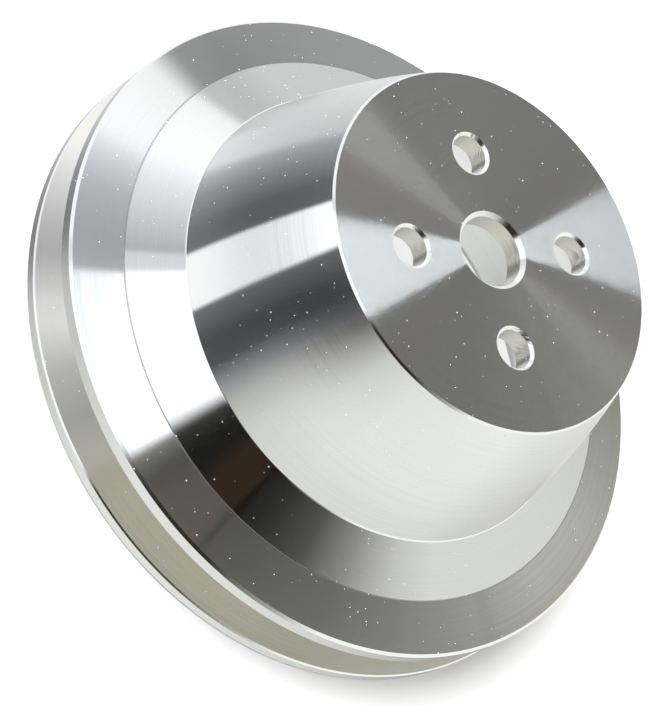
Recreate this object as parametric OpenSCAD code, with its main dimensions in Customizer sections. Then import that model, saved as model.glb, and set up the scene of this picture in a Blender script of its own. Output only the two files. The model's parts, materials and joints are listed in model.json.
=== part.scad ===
// Single-groove V-belt pulley for an engine water pump, turned in one piece from aluminium billet.
// Millimetres. The axis is +Z, towards the front face. The origin is the centre of the pilot bore
// on the seat, the inner side of the end plate, where the pump's flange bears.
// Depths are measured backwards from the front face.

/* [Front face] */
// Diameter of the flat front face
face_d = 82; // [76:0.5:90]
// Thickness of the end plate, from the front face to the seat
plate_t = 5.4; // [4:0.1:8]
// Chamfer round the front face
face_chamfer = 0.45; // [0.2:0.05:0.8]

/* [Pilot bore and bolt holes] */
// Diameter of the pilot bore
pilot_d = 16; // [12:0.1:20]
// Chamfer at the front of the pilot bore
pilot_chamfer = 0.9; // [0.2:0.1:1.5]
// Number of bolt holes
bolt_count = 4; // [3:1:6]
// Diameter of the bolt circle
bolt_circle_d = 44.45; // [40:0.05:52]
// Diameter of each bolt hole
bolt_hole_d = 8.75; // [6:0.05:10]
// Chamfer at the front of each bolt hole
bolt_chamfer = 0.65; // [0.2:0.05:1]

/* [Drum] */
// Diameter of the drum where it meets the shoulder
drum_base_d = 104.4; // [98:0.1:110]
// Depth of that corner
drum_depth = 38.85; // [34:0.05:41]
// Radius of the drum's slight outward crown, seen in section
drum_crown_r = 240; // [200:10:600]
// Tool radius left in the corner between the drum and the shoulder
drum_fillet = 0.8; // [0.4:0.1:1.2]

/* [Shoulder rings] */
// Diameter of the edge between the steep inner ring and the flatter outer ring
ring_edge_d = 127.6; // [120:0.1:134]
// Depth of that edge
ring_edge_depth = 45; // [43:0.1:46]
// Tool radius left between the two rings
ring_fillet = 1.6; // [0.4:0.1:2.5]
// Depth of the outer ring where it meets the rim's front chamfer
rim_front_depth = 47.7; // [47:0.1:48]

/* [Rim and belt groove] */
// Outside diameter of the rim
rim_d = 151; // [148:0.5:156]
// Chamfer at the front of the rim
rim_chamfer = 0.6; // [0.3:0.1:1]
// Depth of the rim's rear face, the length of the whole pulley
overall_depth = 65.6; // [65:0.1:70]
// Chamfer at the rear of the rim
rear_chamfer = 0.5; // [0.2:0.1:0.8]
// Width of the V groove at the outside diameter
groove_w = 11.2; // [10.5:0.1:11.5]
// Included angle of the V groove, in degrees
groove_angle = 36; // [32:1:38]
// Depth of the V groove below the outside diameter
groove_depth = 12.4; // [9:0.1:12.5]
// Tool radius left in the corners of the groove's floor
groove_floor_r = 0.8; // [0.2:0.1:1]
// Depth of the middle of the V groove, from the front face
groove_mid_depth = 57.05; // [56.8:0.05:57.2]
// Edge break at both lips of the groove
lip_break = 0.3; // [0.1:0.05:0.5]

/* [Cup behind the end plate] */
// Diameter of the cup where it meets the seat
cup_front_d = 75; // [70:0.5:76]
// Diameter of the cup inside the drum's base
cup_waist_d = 94; // [88:0.5:95]
// Diameter of the cup under the rim
cup_rear_d = 117; // [110:0.5:119]
// Thickness of the metal behind the inner ring
shoulder_t = 5; // [4:0.1:6]
// Radius in the corner between the seat and the cup's wall
cup_fillet = 3; // [1:0.5:4]
// Chamfer at the cup's rear mouth
mouth_chamfer = 1; // [0.5:0.1:1.5]

/* [Hidden] */
$fn = 180;
cut = 0.01;

face_r = face_d / 2;
rim_r = rim_d / 2;
drum_base_r = drum_base_d / 2;
ring_edge_r = ring_edge_d / 2;
cup_front_r = cup_front_d / 2;
cup_waist_r = cup_waist_d / 2;
cup_rear_r = cup_rear_d / 2;

// Height above the seat of a point at a given depth behind the front face
function z_at(depth) = plate_t - depth;

// Slope of the inner ring, and the depth of the cup's wall behind it at a given radius
ring_slope = (ring_edge_depth - drum_depth) / (ring_edge_r - drum_base_r);
ring_tilt = atan(ring_slope);
function shoulder_depth(r) = drum_depth + (r - drum_base_r) * ring_slope + shoulder_t / cos(ring_tilt);

// Half width of the groove at a given depth below the outside diameter
groove_slope = tan(groove_angle / 2);
function groove_half(below) = groove_w / 2 - below * groove_slope;

function unit(v) = v / norm(v);

// Points of an arc of radius r that rounds the corner b of the path a, b, c
function rounded(a, b, c, r, steps) =
    let (
        u = unit(a - b),
        w = unit(c - b),
        half = acos(u * w) / 2,
        reach = r / tan(half),
        centre = b + unit(u + w) * r / sin(half),
        from = b + u * reach - centre,
        to = b + w * reach - centre,
        turn = acos(from * to / (r * r)),
        side = from.x * to.y - from.y * to.x > 0 ? 1 : -1
    )
    [for (i = [0 : steps]) let (t = side * turn * i / steps)
        centre + [from.x * cos(t) - from.y * sin(t), from.x * sin(t) + from.y * cos(t)]];

// Points of an arc of radius r from a to b that bulges to the left of the way from a to b
function bowed(a, b, r, steps) =
    let (
        chord = b - a,
        way = unit(chord),
        centre = (a + b) / 2 + [way.y, -way.x] * sqrt(r * r - chord * chord / 4),
        half = asin(norm(chord) / 2 / r),
        from = a - centre
    )
    [for (i = [0 : steps]) let (t = -2 * half * i / steps)
        centre + [from.x * cos(t) - from.y * sin(t), from.x * sin(t) + from.y * cos(t)]];

// Drum side, from the face's chamfer to the fillet at the shoulder
drum_steps = 16;
drum_top = [face_r + face_chamfer, z_at(face_chamfer)];
drum_corner = [drum_base_r, z_at(drum_depth)];
ring_edge = [ring_edge_r, z_at(ring_edge_depth)];
rim_front = [rim_r - rim_chamfer, z_at(rim_front_depth)];
drum_side = bowed(drum_top, drum_corner, drum_crown_r, drum_steps);

// Shoulder, from the drum's fillet to the front of the rim
shoulder_side = concat(
    rounded(drum_side[drum_steps - 1], drum_corner, ring_edge, drum_fillet, 6),
    rounded(drum_corner, ring_edge, rim_front, ring_fillet, 4),
    [rim_front, [rim_r, z_at(rim_front_depth + rim_chamfer)]]
);

// One flank of the groove, from its lip to its floor; side is -1 in front of the middle and 1 behind
function groove_at(below, side) = [rim_r - below, z_at(groove_mid_depth + side * groove_half(below))];
function flank(side) = concat(
    [[rim_r, z_at(groove_mid_depth + side * (groove_half(0) + lip_break))], groove_at(lip_break, side)],
    rounded(groove_at(lip_break, side), groove_at(groove_depth, side), groove_at(groove_depth, -side),
            groove_floor_r, 6)
);
function reversed(path) = [for (i = [len(path) - 1 : -1 : 0]) path[i]];

// Rear rim and the cup, from the rim's outside to the middle of the seat
waist = [cup_waist_r, z_at(shoulder_depth(cup_waist_r))];
under_rim = [cup_rear_r, z_at(shoulder_depth(cup_rear_r))];
mouth = [cup_rear_r, z_at(overall_depth - mouth_chamfer)];
seat_corner = [cup_front_r, 0];
cup_side = concat(
    [[rim_r, z_at(overall_depth - rear_chamfer)], [rim_r - rear_chamfer, z_at(overall_depth)]],
    [[cup_rear_r + mouth_chamfer, z_at(overall_depth)], mouth],
    rounded(mouth, under_rim, waist, cup_fillet, 8),
    rounded(under_rim, waist, seat_corner, cup_fillet, 8),
    rounded(waist, seat_corner, [0, 0], cup_fillet, 8),
    [[0, 0]]
);

// Solid blank of the pulley, before drilling
module turned_blank() {
    rotate_extrude()
        polygon(concat(
            [[0, plate_t], [face_r, plate_t]],
            [for (i = [0 : drum_steps - 1]) drum_side[i]],
            shoulder_side,
            flank(-1),
            reversed(flank(1)),
            cup_side
        ));
}

// Through hole in the end plate with a chamfer at the front face
module chamfered_hole(d, chamfer) {
    translate([0, 0, -cut])
        cylinder(d = d, h = plate_t + 2 * cut);
    translate([0, 0, plate_t - chamfer])
        cylinder(d1 = d, d2 = d + 2 * (chamfer + cut), h = chamfer + cut);
}

// The whole pulley
module pulley() {
    color("silver")
        difference() {
            turned_blank();
            chamfered_hole(pilot_d, pilot_chamfer);
            for (i = [0 : bolt_count - 1])
                rotate(i * 360 / bolt_count)
                    translate([bolt_circle_d / 2, 0, 0])
                        chamfered_hole(bolt_hole_d, bolt_chamfer);
        }
}

pulley();
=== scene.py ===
"""A turned aluminium V-belt pulley on a pale floor, in a studio laid out for its reflections."""
import json
import math

import bmesh
import bpy
from mathutils import Matrix, Vector


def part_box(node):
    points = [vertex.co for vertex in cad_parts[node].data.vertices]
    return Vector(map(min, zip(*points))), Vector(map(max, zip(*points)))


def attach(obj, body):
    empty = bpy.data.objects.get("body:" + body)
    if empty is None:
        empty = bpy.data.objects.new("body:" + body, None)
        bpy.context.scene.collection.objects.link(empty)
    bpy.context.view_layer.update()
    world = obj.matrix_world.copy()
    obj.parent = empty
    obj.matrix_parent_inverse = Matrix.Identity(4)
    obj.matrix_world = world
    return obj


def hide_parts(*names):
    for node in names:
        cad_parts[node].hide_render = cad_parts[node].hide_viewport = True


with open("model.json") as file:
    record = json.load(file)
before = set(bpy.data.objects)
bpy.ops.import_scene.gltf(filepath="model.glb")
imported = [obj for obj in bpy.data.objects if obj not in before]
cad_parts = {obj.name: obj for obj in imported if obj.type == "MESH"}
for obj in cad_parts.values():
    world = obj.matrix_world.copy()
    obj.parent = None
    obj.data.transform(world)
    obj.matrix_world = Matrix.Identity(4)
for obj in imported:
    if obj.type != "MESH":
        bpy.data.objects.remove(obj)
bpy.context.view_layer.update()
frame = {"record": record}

MM = 0.001

# ---- Dimensions: the frame's own, and the turned profile's, in metres -------------------------------
LOW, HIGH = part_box("pulley")
MOUNTS = {mount["name"]: mount for mount in frame["record"]["mounts"]}
FRONT_Z = HIGH.z
REAR_Z = LOW.z
RIM_R = HIGH.x
SEAT_Z = MOUNTS["hub_seat"]["pos_m"][2]
PILOT_R = MOUNTS["pilot_bore"]["dims"]["r_mm"] * MM
BOLT_CIRCLE_R = MOUNTS["hub_bolts"]["dims"]["pcd_mm"] * MM / 2
BOLT_R = MOUNTS["hub_bolts"]["dims"]["hole_r_mm"] * MM
BOLTS = MOUNTS["hub_bolts"]["dims"]["count"]
GROOVE_Z = MOUNTS["belt_groove"]["pos_m"][2]
GROOVE_FLOOR_R = MOUNTS["belt_groove"]["pos_m"][0]

FACE_R = 41 * MM
FACE_CHAMFER = 0.45 * MM
PILOT_CHAMFER = 0.9 * MM
BOLT_CHAMFER = 0.65 * MM
DRUM_BASE = (52.2 * MM, FRONT_Z - 38.85 * MM)
DRUM_CROWN_R = 240 * MM
DRUM_FILLET = 0.8 * MM
RING_EDGE = (63.8 * MM, FRONT_Z - 45 * MM)
RING_FILLET = 1.6 * MM
RIM_CHAMFER = 0.6 * MM
RIM_FRONT = (RIM_R - RIM_CHAMFER, FRONT_Z - 47.7 * MM)
REAR_CHAMFER = 0.5 * MM
GROOVE_HALF = 5.6 * MM
GROOVE_SLOPE = math.tan(math.radians(18))
LIP_BREAK = 0.3 * MM
GROOVE_FILLET = 0.8 * MM
SHOULDER = 5 * MM
CUP_SEAT_R = 37.5 * MM
CUP_WAIST_R = 47 * MM
CUP_REAR_R = 58.5 * MM
CUP_FILLET = 3 * MM
MOUTH_CHAMFER = 1 * MM

AROUND = 480
HOLE_AROUND = 96
SUPPORT = 0.05 * MM
SMOOTH_BELOW = math.radians(20)


# ---- Profile: points are (radius, height) ----------------------------------------------------------
def straight(a, b):
    """A straight cut from a to b, with a point close to each end so that its shading stays flat."""
    a, b = Vector(a), Vector(b)
    step = (b - a).normalized() * SUPPORT
    return [a, a + step, b - step, b]


def rounded(a, b, c, radius, steps):
    """The arc that rounds corner b of the path a, b, c."""
    a, b, c = Vector(a), Vector(b), Vector(c)
    u = (a - b).normalized()
    w = (c - b).normalized()
    half = u.angle(w) / 2
    centre = b + (u + w).normalized() * radius / math.sin(half)
    start = b + u * radius / math.tan(half) - centre
    end = b + w * radius / math.tan(half) - centre
    turn = start.angle(end)
    side = math.copysign(1, start.x * end.y - start.y * end.x)
    return [centre + Matrix.Rotation(side * turn * i / steps, 2) @ start for i in range(steps + 1)]


def bowed(a, b, radius, steps):
    """The arc from a to b that bulges to the left of the way."""
    a, b = Vector(a), Vector(b)
    chord = b - a
    way = chord.normalized()
    reach = math.sqrt(radius ** 2 - chord.length_squared / 4)
    centre = (a + b) / 2 + Vector((way.y, -way.x)) * reach
    half = math.asin(chord.length / 2 / radius)
    return [centre + Matrix.Rotation(-2 * half * i / steps, 2) @ (a - centre) for i in range(steps + 1)]


def cup_height(radius):
    """Height of the cup's wall behind the inner ring."""
    slope = (RING_EDGE[1] - DRUM_BASE[1]) / (RING_EDGE[0] - DRUM_BASE[0])
    return DRUM_BASE[1] + (radius - DRUM_BASE[0]) * slope - SHOULDER * math.hypot(1, slope)


def groove_point(below, side):
    """A point of the groove's flank: side is 1 for the front flank and -1 for the rear one."""
    return (RIM_R - below, GROOVE_Z + side * (GROOVE_HALF - below * GROOVE_SLOPE))


def flank(side):
    """The lip, the flank and the floor's corner, from the rim inwards."""
    lip = (RIM_R, GROOVE_Z + side * (GROOVE_HALF + LIP_BREAK))
    top = groove_point(LIP_BREAK, side)
    depth = RIM_R - GROOVE_FLOOR_R
    corner = rounded(top, groove_point(depth, side), groove_point(depth, -side), GROOVE_FILLET, 8)
    return [("chamfer", [lip, top]), ("groove", straight(top, corner[0])), ("groove", corner)]


def outside_profile():
    """The turned outside as (zone, points), from the front face's edge round to the cup's mouth."""
    drum_top = (FACE_R + FACE_CHAMFER, FRONT_Z - FACE_CHAMFER)
    crown = bowed(drum_top, DRUM_BASE, DRUM_CROWN_R, 64)
    base = rounded(crown[-2], DRUM_BASE, RING_EDGE, DRUM_FILLET, 12)
    crown = [p for p in crown if p.y > base[0].y + SUPPORT]
    edge = rounded(DRUM_BASE, RING_EDGE, RIM_FRONT, RING_FILLET, 8)
    rim_corner = (RIM_R, RIM_FRONT[1] - RIM_CHAMFER)
    front_flank = flank(1)
    rear_flank = [(zone, points[::-1]) for zone, points in flank(-1)[::-1]]
    rear_corner = (RIM_R, REAR_Z + REAR_CHAMFER)
    rear_edge = (RIM_R - REAR_CHAMFER, REAR_Z)
    mouth = (CUP_REAR_R + MOUTH_CHAMFER, REAR_Z)
    return [
        ("chamfer", [(FACE_R, FRONT_Z), drum_top]),
        ("drum", crown + [base[0]]),
        ("fillet", base),
        ("inner_ring", straight(base[-1], edge[0])),
        ("ring_line", edge),
        ("outer_ring", straight(edge[-1], RIM_FRONT)),
        ("chamfer", [RIM_FRONT, rim_corner]),
        ("land", straight(rim_corner, front_flank[0][1][0])),
        *front_flank,
        ("groove", straight(front_flank[-1][1][-1], rear_flank[0][1][0])),
        *rear_flank,
        ("land", straight(rear_flank[-1][1][-1], rear_corner)),
        ("chamfer", [rear_corner, rear_edge]),
        ("rear_face", straight(rear_edge, mouth)),
    ]


def cup_profile():
    """The bored inside as (zone, points), from the mouth to the seat's corner."""
    mouth_edge = (CUP_REAR_R + MOUTH_CHAMFER, REAR_Z)
    mouth = (CUP_REAR_R, REAR_Z + MOUTH_CHAMFER)
    under_rim = (CUP_REAR_R, cup_height(CUP_REAR_R))
    waist = (CUP_WAIST_R, cup_height(CUP_WAIST_R))
    corner = (CUP_SEAT_R, SEAT_Z)
    low = rounded(mouth, under_rim, waist, CUP_FILLET, 12)
    mid = rounded(under_rim, waist, corner, CUP_FILLET, 12)
    top = rounded(waist, corner, (0, SEAT_Z), CUP_FILLET, 12)
    return [
        ("chamfer", [mouth_edge, mouth]),
        ("cup", straight(mouth, low[0])),
        ("cup", low),
        ("cup", straight(low[-1], mid[0])),
        ("cup", mid),
        ("cup", straight(mid[-1], top[0])),
        ("cup", top),
    ]


# ---- Mesh ------------------------------------------------------------------------------------------
def ring(bm, radius, height, count, centre=(0, 0)):
    """A circle of vertices about an upright axis."""
    points = []
    for i in range(count):
        angle = math.tau * i / count
        points.append(bm.verts.new((centre[0] + radius * math.cos(angle),
                                    centre[1] + radius * math.sin(angle), height)))
    return points


def bridge(bm, upper, lower, zone):
    """Faces between two rings of the same count."""
    count = len(upper)
    for i in range(count):
        j = (i + 1) % count
        bm.faces.new((upper[i], lower[i], lower[j], upper[j])).material_index = zone


def turn(bm, profile, zones, first):
    """Turns a profile into faces, from the ring first on. Returns the last ring."""
    last = first
    for zone, points in profile:
        for point in points[1:]:
            following = ring(bm, point[0], point[1], AROUND)
            bridge(bm, last, following, zones.index(zone))
            last = following
    return last


def plate(bm, rings, zone, up):
    """A flat plate between the outer ring, rings[0], and the holes' rings."""
    edges = []
    for points in rings:
        for i, vert in enumerate(points):
            pair = (vert, points[(i + 1) % len(points)])
            edges.append(bm.edges.get(pair) or bm.edges.new(pair))
    filled = bmesh.ops.triangle_fill(bm, use_beauty=True, use_dissolve=False, edges=edges)
    for face in filled["geom"]:
        if isinstance(face, bmesh.types.BMFace):
            face.material_index = zone
            if (face.normal.z > 0) != up:
                face.normal_flip()


def hole(bm, radius, chamfer, centre, count, zones):
    """A drilled hole's rings and walls. Returns its ring in the front face and its ring in the seat."""
    mouth = ring(bm, radius + chamfer, FRONT_Z, count, centre)
    throat = ring(bm, radius, FRONT_Z - chamfer, count, centre)
    back = ring(bm, radius, SEAT_Z, count, centre)
    bridge(bm, throat, mouth, zones.index("hole_chamfer"))
    bridge(bm, back, throat, zones.index("bore"))
    return mouth, back


def pulley_mesh(zones):
    """The whole pulley as one closed mesh, each face carrying the index of its zone."""
    bm = bmesh.new()
    front = ring(bm, FACE_R, FRONT_Z, AROUND)
    mouth = turn(bm, outside_profile(), zones, front)
    seat = turn(bm, cup_profile(), zones, mouth)
    angles = [math.tau * i / BOLTS for i in range(BOLTS)]
    centres = [(BOLT_CIRCLE_R * math.cos(angle), BOLT_CIRCLE_R * math.sin(angle)) for angle in angles]
    holes = [hole(bm, PILOT_R, PILOT_CHAMFER, (0, 0), 2 * HOLE_AROUND, zones)]
    holes += [hole(bm, BOLT_R, BOLT_CHAMFER, centre, HOLE_AROUND, zones) for centre in centres]
    bm.normal_update()
    plate(bm, [front] + [pair[0] for pair in holes], zones.index("face"), True)
    plate(bm, [seat] + [pair[1] for pair in holes], zones.index("seat"), False)
    bm.normal_update()
    for face in bm.faces:
        face.smooth = True
    for edge in bm.edges:
        edge.smooth = edge.calc_face_angle(math.pi) < SMOOTH_BELOW
    mesh = bpy.data.meshes.new("turned_pulley")
    bm.to_mesh(mesh)
    bm.free()
    return mesh


# ---- Materials -------------------------------------------------------------------------------------
def grey(level):
    return (level, level, level, 1)


class Nodes:
    """A short way to write a node tree."""

    def __init__(self, tree):
        self.tree = tree
        self.tree.nodes.clear()

    def add(self, kind, inputs=None, **settings):
        node = self.tree.nodes.new(kind)
        for name, value in settings.items():
            setattr(node, name, value)
        for key, value in (inputs or {}).items():
            if isinstance(value, bpy.types.NodeSocket):
                self.tree.links.new(value, node.inputs[key])
            else:
                node.inputs[key].default_value = value
        return node

    def math(self, operation, a, b=0.0, c=0.0, clamp=False):
        node = self.add("ShaderNodeMath", {0: a, 1: b, 2: c}, operation=operation, use_clamp=clamp)
        return node.outputs[0]

    def smooth(self, value, low, high):
        """0 below low and 1 above high, with a smooth step between."""
        node = self.add("ShaderNodeMapRange", {"Value": value, "From Min": low, "From Max": high},
                        interpolation_type="SMOOTHSTEP")
        return node.outputs["Result"]

    def span(self, value, begin, full, fading, end):
        """1 from full to fading, 0 before begin and after end."""
        return self.math("MULTIPLY", self.smooth(value, begin, full), self.smooth(value, end, fading))

    def mix(self, factor, a, b):
        node = self.add("ShaderNodeMix", {0: factor, 6: a, 7: b}, data_type="RGBA")
        return node.outputs[2]


# The coarser tool marks: their pitch across the cut, how quickly they change along it, and the share
# of its colour that the metal keeps in their dark streaks
COARSE_MARKS = 0.35 * MM
CHANGE_ALONG = 0.3
STREAK = 0.965
# Dust: at most one speck in each cell of this size, in this share of the cells, up to this radius
DUST_SPACING = 1.0 * MM
DUST_SHARE = 0.3
DUST_RADIUS = 0.15 * MM
QUARTER_TURN = 0.25


def turned_metal(name, colour, roughness, anisotropy, spread, waves, metallic=1.0):
    """Bright turned aluminium. Across the cut, its fine tool marks lean the surface by up to spread,
    and its coarser ones by up to waves, both as slopes. Below 1, metallic gives it a matt share."""
    material = bpy.data.materials.new(name)
    material.use_nodes = True
    n = Nodes(material.node_tree)
    place = n.add("ShaderNodeTexCoord").outputs["Object"]
    x, y, z = n.add("ShaderNodeSeparateXYZ", {0: place}).outputs
    radius = n.math("SQRT", n.math("ADD", n.math("MULTIPLY", x, x), n.math("MULTIPLY", y, y)))
    across = n.math("SUBTRACT", radius, z)

    finest = n.add("ShaderNodeTexWhiteNoise", {"W": across}, noise_dimensions="1D").outputs["Value"]
    turning = n.add("ShaderNodeCombineXYZ", {0: n.math("DIVIDE", x, radius), 1: n.math("DIVIDE", y, radius),
                                             2: n.math("DIVIDE", across, COARSE_MARKS)}).outputs[0]
    squeezed = n.add("ShaderNodeVectorMath", {0: turning, 1: (CHANGE_ALONG, CHANGE_ALONG, 1)},
                     operation="MULTIPLY").outputs[0]
    coarse = n.add("ShaderNodeTexNoise", {"Vector": squeezed, "Scale": 1.0, "Detail": 3.0,
                                          "Roughness": 0.7}).outputs["Fac"]
    lean = n.math("ADD", n.math("MULTIPLY_ADD", finest, 2 * spread, -spread),
                  n.math("MULTIPLY_ADD", coarse, 2 * waves, -waves))
    streak = n.smooth(coarse, 0.3, 0.6)
    metal = n.mix(streak, tuple(STREAK * c for c in colour) + (1,), (*colour, 1))
    tangent = n.add("ShaderNodeTangent", direction_type="RADIAL", axis="Z").outputs[0]
    normal = n.add("ShaderNodeNewGeometry").outputs["Normal"]
    sideways = n.add("ShaderNodeVectorMath", {0: normal, 1: tangent}, operation="CROSS_PRODUCT").outputs[0]
    leaning = n.add("ShaderNodeVectorMath", {0: sideways, "Scale": lean}, operation="SCALE").outputs[0]
    leaning = n.add("ShaderNodeVectorMath", {0: normal, 1: leaning}, operation="ADD").outputs[0]
    leaning = n.add("ShaderNodeVectorMath", {0: leaning}, operation="NORMALIZE").outputs[0]

    cells = n.add("ShaderNodeTexVoronoi", {"Vector": place, "Scale": 1 / DUST_SPACING})
    chance = n.add("ShaderNodeSeparateColor", {0: cells.outputs["Color"]})
    growth = DUST_RADIUS / DUST_SPACING / DUST_SHARE
    reach = n.math("MULTIPLY", n.math("SUBTRACT", chance.outputs[0], 1 - DUST_SHARE), growth)
    dust = n.math("LESS_THAN", cells.outputs["Distance"], reach)
    shader = n.add("ShaderNodeBsdfPrincipled", {
        "Base Color": n.mix(dust, metal, grey(0.9)),
        "Metallic": n.math("SUBTRACT", metallic, dust, clamp=True),
        "Roughness": n.math("MAXIMUM", dust, roughness),
        "Anisotropic": anisotropy, "Anisotropic Rotation": QUARTER_TURN,
        "Normal": leaning, "Tangent": tangent})
    n.add("ShaderNodeOutputMaterial", {0: shader.outputs[0]})
    return material


ALUMINIUM = (0.925, 0.935, 0.935)
# The groove's colour is partly its duller, rougher metal and partly painted shade: darker and warmer, as
# its flanks shade and mirror each other.
DULL_AND_SHADED_ALUMINIUM = (0.86, 0.85, 0.80)
DRILLED_ALUMINIUM = (0.74, 0.73, 0.68)
RING_LINE = (0.6, 0.6, 0.6)
ZONES = {
    "face": turned_metal("turned_face", ALUMINIUM, 0.13, 1.0, 0.24, 0.01),
    "drum": turned_metal("turned_drum", ALUMINIUM, 0.13, 1.0, 0.01, 0.04),
    "fillet": turned_metal("turned_fillet", ALUMINIUM, 0.12, 1.0, 0.01, 0.01),
    "inner_ring": turned_metal("turned_inner_ring", ALUMINIUM, 0.1, 1.0, 0.01, 0.02),
    "ring_line": turned_metal("turned_ring_line", RING_LINE, 0.2, 0.8, 0.02, 0.02),
    "outer_ring": turned_metal("turned_outer_ring", ALUMINIUM, 0.085, 1.0, 0.005, 0.012),
    "chamfer": turned_metal("turned_chamfer", ALUMINIUM, 0.2, 0.8, 0.02, 0.02),
    "land": turned_metal("turned_land", ALUMINIUM, 0.2, 0.8, 0.05, 0.02),
    "groove": turned_metal("turned_groove", DULL_AND_SHADED_ALUMINIUM, 0.1, 0.9, 0.01, 0.02),
    "rear_face": turned_metal("turned_rear_face", ALUMINIUM, 0.2, 0.9, 0.1, 0.03),
    "cup": turned_metal("turned_cup", ALUMINIUM, 0.3, 0.7, 0.1, 0.1),
    "seat": turned_metal("turned_seat", ALUMINIUM, 0.2, 0.9, 0.15, 0.05),
    "hole_chamfer": turned_metal("drilled_chamfer", ALUMINIUM, 0.2, 0.8, 0.1, 0.45),
    "bore": turned_metal("drilled_bore", DRILLED_ALUMINIUM, 0.25, 0.0, 0.05, 0.3, 0.9),
}


def add_pulley():
    """The pulley's visual piece, which stands for the CAD node."""
    mesh = pulley_mesh(list(ZONES))
    for material in ZONES.values():
        mesh.materials.append(material)
    piece = bpy.data.objects.new("turned_pulley", mesh)
    bpy.context.scene.collection.objects.link(piece)
    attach(piece, "root")
    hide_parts("pulley")
    piece.visible_glossy = False


# ---- Camera ----------------------------------------------------------------------------------------
VIEW_AZIMUTH = math.radians(25.1)
VIEW_ELEVATION = math.radians(47.39)
VIEW_ROLL = math.radians(58.95)
VIEW_DISTANCE = 757.2 * MM
VIEW_AIM = Vector((-1.12, 2.39, -55.58)) * MM
LENS_MM = 182.1


def direction(azimuth, elevation):
    """The way towards a place that far round and that high."""
    return Vector((math.cos(elevation) * math.cos(azimuth), math.cos(elevation) * math.sin(azimuth),
                   math.sin(elevation)))


def add_camera():
    """A long lens at the photograph's viewing angle."""
    camera = bpy.data.cameras.new("camera")
    camera.sensor_fit = "HORIZONTAL"
    camera.sensor_width = 36
    camera.lens = LENS_MM
    camera.clip_start = 0.05
    camera.clip_end = 50
    holder = bpy.data.objects.new("camera", camera)
    bpy.context.scene.collection.objects.link(holder)
    to_camera = direction(VIEW_AZIMUTH, VIEW_ELEVATION)
    turn_to_aim = to_camera.to_track_quat("Z", "Y").to_matrix().to_4x4()
    roll = Matrix.Rotation(VIEW_ROLL, 4, "Z")
    holder.matrix_world = Matrix.Translation(VIEW_AIM + to_camera * VIEW_DISTANCE) @ turn_to_aim @ roll
    bpy.context.scene.camera = holder


# ---- Studio ----------------------------------------------------------------------------------------
REFLECTANCE = 0.92


def seen(red, green, blue, times=1.0):
    """The light whose mirror image in the metal shows as that display colour, 0 to 255, or light that
    many times as strong."""
    linear = [((c / 255 + 0.055) / 1.055) ** 2.4 / REFLECTANCE * times for c in (red, green, blue)]
    return (*linear, 1)


CEILING = seen(107, 106, 102)

# The studio is laid out by the way a turned surface has to face to mirror it to the camera: azimuth
# round the pulley's axis and tilt from it, in degrees. A belt runs all the way round. It has the tilts
# where it begins and where it is full, the azimuth where its light turns from cool to warm, its warm
# tint, and its display brightness at some azimuths. Much of that brightness, and the panels' colours,
# began as readings of the photograph and were corrected against it, and that is an open failure.
COOL_FROM = -42
COOL = (0.99, 1.0, 1.06)
WARM = (1.0, 1.005, 0.95)
OLIVE = (1.05, 1.0, 0.85)
BELTS = [
    ("low_walls", 9, 12, 22, WARM, [
        (-180, 140), (-110, 155), (-90, 150), (-70, 125), (-61, 145), (-57, 232), (-50, 246), (-41, 250),
        (-36, 205), (-30, 175), (-20, 160), (-11, 150), (23, 110), (28, 58), (50, 68), (70, 89),
        (85, 116), (100, 147), (120, 188), (135, 185), (150, 158), (165, 135), (180, 140)]),
    ("groove_walls", 16.9, 17.9, 20, OLIVE, [
        (-180, 150), (-62, 150), (-56, 250), (-43, 255), (-36, 228), (-25, 184), (-20, 174), (-13, 212),
        (-6, 228), (3, 168), (12, 140), (22, 172), (28, 186), (60, 186), (75, 166), (95, 135), (180, 150)]),
    ("high_walls", 20.5, 23, 22, WARM, [
        (-180, 200), (-76, 203), (-66, 187), (-60, 192), (-57, 245), (-48, 255), (-40, 255), (-32, 227),
        (-15, 170), (23, 50), (28, 22), (42, 22), (50, 42), (60, 76), (70, 134), (82, 195), (92, 214),
        (125, 212), (160, 200), (180, 200)]),
    ("chamfer_walls", 36, 41, 22, WARM, [
        (-180, 235), (-60, 250), (20, 250), (24, 40), (46, 30), (60, 170), (68, 250), (180, 245)]),
    ("table_far", 58, 66, 22, WARM, [
        (-180, 230), (-75, 226), (-58, 214), (-42, 192), (-38, 155), (-31, 126), (-22, 84), (2, 80),
        (9, 32), (14, 6), (19, 26), (24, 82), (30, 150), (37, 203), (50, 228), (85, 234), (100, 222),
        (118, 216), (180, 220)]),
    ("table_middle", 71, 75, 22, WARM, [
        (-180, 195), (-74, 170), (-61, 206), (-41, 202), (-38, 165), (-31, 126), (-22, 76), (2, 86),
        (9, 54), (14, 76), (19, 132), (24, 188), (31, 218), (40, 230), (50, 232), (80, 230), (95, 212),
        (120, 188), (180, 190)]),
    ("table_near", 76, 79, 22, WARM, [
        (-180, 200), (-56, 194), (-51, 230), (-41, 234), (-37, 184), (-31, 152), (-21, 122), (2, 98),
        (8, 58), (14, 56), (19, 136), (25, 180), (32, 204), (50, 212), (86, 212), (98, 202), (180, 202)]),
    ("floor_edge", 84, 88, -22, WARM, [
        (-180, 200), (-52, 202), (-41, 182), (-31, 125), (-21, 82), (-15, 106), (-9, 165), (10, 212),
        (22, 228), (45, 222), (65, 210), (80, 186), (94, 152), (180, 160)]),
    ("underside", 94, 98, 22, WARM, [(-180, 240)]),
]

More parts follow.
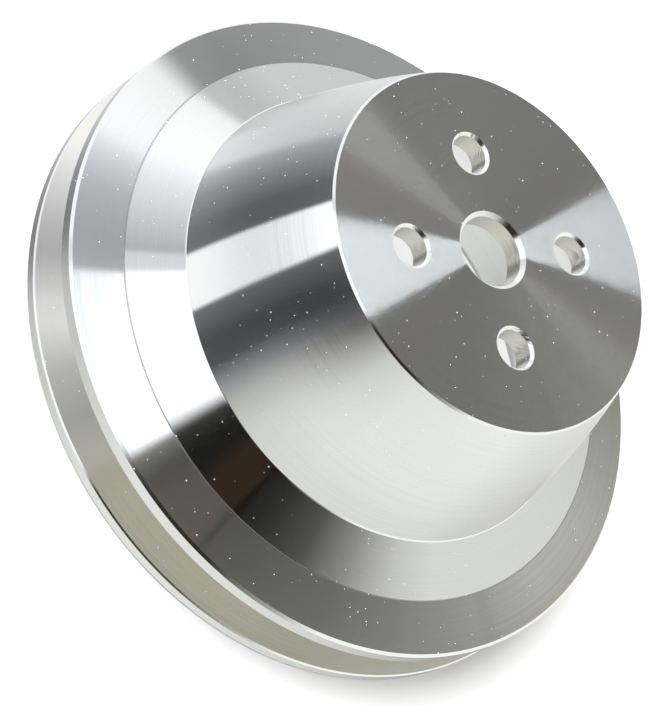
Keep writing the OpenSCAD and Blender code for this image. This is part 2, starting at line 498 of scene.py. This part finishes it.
# A panel lies over the belts. It has a range of azimuths, a range of tilts and its light. The four
# numbers of a range are where it begins, where it is full, where it stops being full and where it ends.
PANELS = [
    ("rosy_curtain", (-43, -39, -33, -26), (6.5, 8.5, 11, 12.5), seen(142, 104, 105)),
    ("main_softbox_core", (-17, -14.5, 21.5, 23), (6.5, 8.5, 11.5, 13), seen(242, 249, 255, 3.6)),
    ("main_softbox_low", (-13.5, -12, 21.5, 24), (11.5, 13, 15.2, 16.4), seen(250, 253, 255, 1.7)),
    ("softbox_frame", (-16.6, -14.8, -10, -9), (21, 23.5, 50, 58), seen(212, 214, 217)),
    ("main_softbox_high", (-12.2, -10.4, 19.5, 24), (21, 23.5, 50, 58), seen(250, 253, 255, 1.15)),
    ("side_softbox_far", (-15.5, -14, -1, 1), (60, 64, 70, 74), seen(252, 252, 252, 1.2)),
    ("side_softbox_middle", (-15.5, -14, -1, 0.5), (70, 74, 76, 78), seen(208, 211, 214)),
    ("side_softbox_near", (-15.5, -14, -1, 0.5), (76, 78, 82, 87), seen(252, 252, 252, 1.1)),
    ("brown_door_low", (28, 34, 41, 43), (10, 12, 15.5, 16.5), seen(82, 71, 66)),
    ("brown_door_high", (31, 36, 42, 43.4), (21, 23, 50, 58), seen(44, 33, 24)),
    ("door_post_low", (42.6, 43.4, 43.8, 44.6), (10, 12, 15.5, 16.5), seen(34, 27, 23)),
    ("door_post_high", (42.6, 43.4, 43.8, 44.6), (21, 23, 50, 58), seen(22, 15, 11)),
    ("far_post", (103.6, 105, 106, 109), (10, 12, 15.5, 16.5), seen(128, 128, 132)),
]

# Matt surfaces, the floor above all, are lit by a high key light and by weaker, warmer light from all
# round.
KEY_AZIMUTH = math.radians(-45)
KEY_ELEVATION = math.radians(64)
KEY_LIGHT = (5.7, 5.8, 5.9, 1)
ROUND_LIGHT = (0.34, 0.32, 0.3, 1)
# The key light's edge and core, as cosines of the angle from its middle
KEY_EDGE = 0.75
KEY_CORE = 0.97


def belt(n, azimuth, cool_until, warm, stops):
    """The light all round a belt."""
    turn_share = n.math("MULTIPLY_ADD", azimuth, 1 / 360, 0.5)
    node = n.add("ShaderNodeValToRGB", {0: turn_share})
    elements = node.color_ramp.elements
    while len(elements) > 1:
        elements.remove(elements[-1])
    for i, (place, level) in enumerate(stops):
        element = elements[0] if i == 0 else elements.new(place / 360 + 0.5)
        element.position = place / 360 + 0.5
        tint = COOL if COOL_FROM < place < cool_until else warm if place >= cool_until else (1, 1, 1)
        light = seen(level, level, level)
        element.color = (light[0] * tint[0], light[1] * tint[1], light[2] * tint[2], 1)
    return node.outputs["Color"]


def add_world():
    """The studio round the pulley, laid out by where its panels show in the turned surfaces."""
    world = bpy.data.worlds.new("studio")
    world.use_nodes = True
    world.cycles.sampling_method = "NONE"
    bpy.context.scene.world = world
    n = Nodes(world.node_tree)
    coordinates = n.add("ShaderNodeTexCoord")
    ray = coordinates.outputs["Generated"]
    facing = n.add("ShaderNodeVectorMath", {0: ray, 1: direction(VIEW_AZIMUTH, VIEW_ELEVATION)},
                   operation="ADD")
    facing = n.add("ShaderNodeVectorMath", {0: facing.outputs[0]}, operation="NORMALIZE")
    parts = n.add("ShaderNodeSeparateXYZ", {0: facing.outputs[0]})
    azimuth = n.math("DEGREES", n.math("ARCTAN2", parts.outputs[1], parts.outputs[0]))
    tilt = n.math("DEGREES", n.math("ARCCOSINE", parts.outputs[2]))
    colour = CEILING
    for name, begin, full, cool_until, warm, stops in BELTS:
        colour = n.mix(n.smooth(tilt, begin, full), colour, belt(n, azimuth, cool_until, warm, stops))
    for name, azimuths, tilts, light in PANELS:
        mask = n.math("MULTIPLY", n.span(azimuth, *azimuths), n.span(tilt, *tilts))
        colour = n.mix(mask, colour, light)
    near_key = n.add("ShaderNodeVectorMath", {0: ray, 1: direction(KEY_AZIMUTH, KEY_ELEVATION)},
                     operation="DOT_PRODUCT").outputs["Value"]
    soft = n.mix(n.smooth(near_key, KEY_EDGE, KEY_CORE), ROUND_LIGHT, KEY_LIGHT)
    path = n.add("ShaderNodeLightPath")
    light = n.mix(path.outputs["Is Diffuse Ray"], grey(1.0), soft)
    light = n.mix(path.outputs["Is Glossy Ray"], light, colour)
    background = n.add("ShaderNodeBackground", {"Color": light, "Strength": 1.0})
    n.add("ShaderNodeOutputWorld", {0: background.outputs[0]})


FLOOR_HALF = 4
FLOOR_GAP = 0.1 * MM
LIGHT_TABLE = (0.86, 0.86, 0.85, 1)


def flat_piece(name, outline, height, shader, inputs):
    """A flat piece with one plain material, which the metal doesn't mirror."""
    mesh = bpy.data.meshes.new(name)
    mesh.from_pydata([(x, y, height) for x, y in outline], [], [range(len(outline))])
    material = bpy.data.materials.new(name)
    material.use_nodes = True
    n = Nodes(material.node_tree)
    n.add("ShaderNodeOutputMaterial", {0: n.add(shader, inputs).outputs[0]})
    mesh.materials.append(material)
    piece = bpy.data.objects.new(name, mesh)
    bpy.context.scene.collection.objects.link(piece)
    piece.visible_glossy = False
    return piece


def add_floor():
    """A pale floor just under the rear rim."""
    corners = [(-1, -1), (1, -1), (1, 1), (-1, 1)]
    outline = [(x * FLOOR_HALF, y * FLOOR_HALF) for x, y in corners]
    matt = {"Base Color": grey(0.9), "Roughness": 0.9, "Specular IOR Level": 0.0}
    floor = flat_piece("floor", outline, REAR_Z - FLOOR_GAP, "ShaderNodeBsdfPrincipled", matt)


def add_light_table():
    """A lit disc on the floor inside the cup, so that white shows through the bolt holes."""
    angles = [math.tau * i / HOLE_AROUND for i in range(HOLE_AROUND)]
    outline = [(CUP_REAR_R * math.cos(angle), CUP_REAR_R * math.sin(angle)) for angle in angles]
    lit = {"Color": LIGHT_TABLE}
    disc = flat_piece("light_table", outline, REAR_Z - FLOOR_GAP / 2, "ShaderNodeEmission", lit)


add_camera()
add_pulley()
add_floor()
add_light_table()
add_world()
bpy.context.scene.view_settings.view_transform = "Standard"
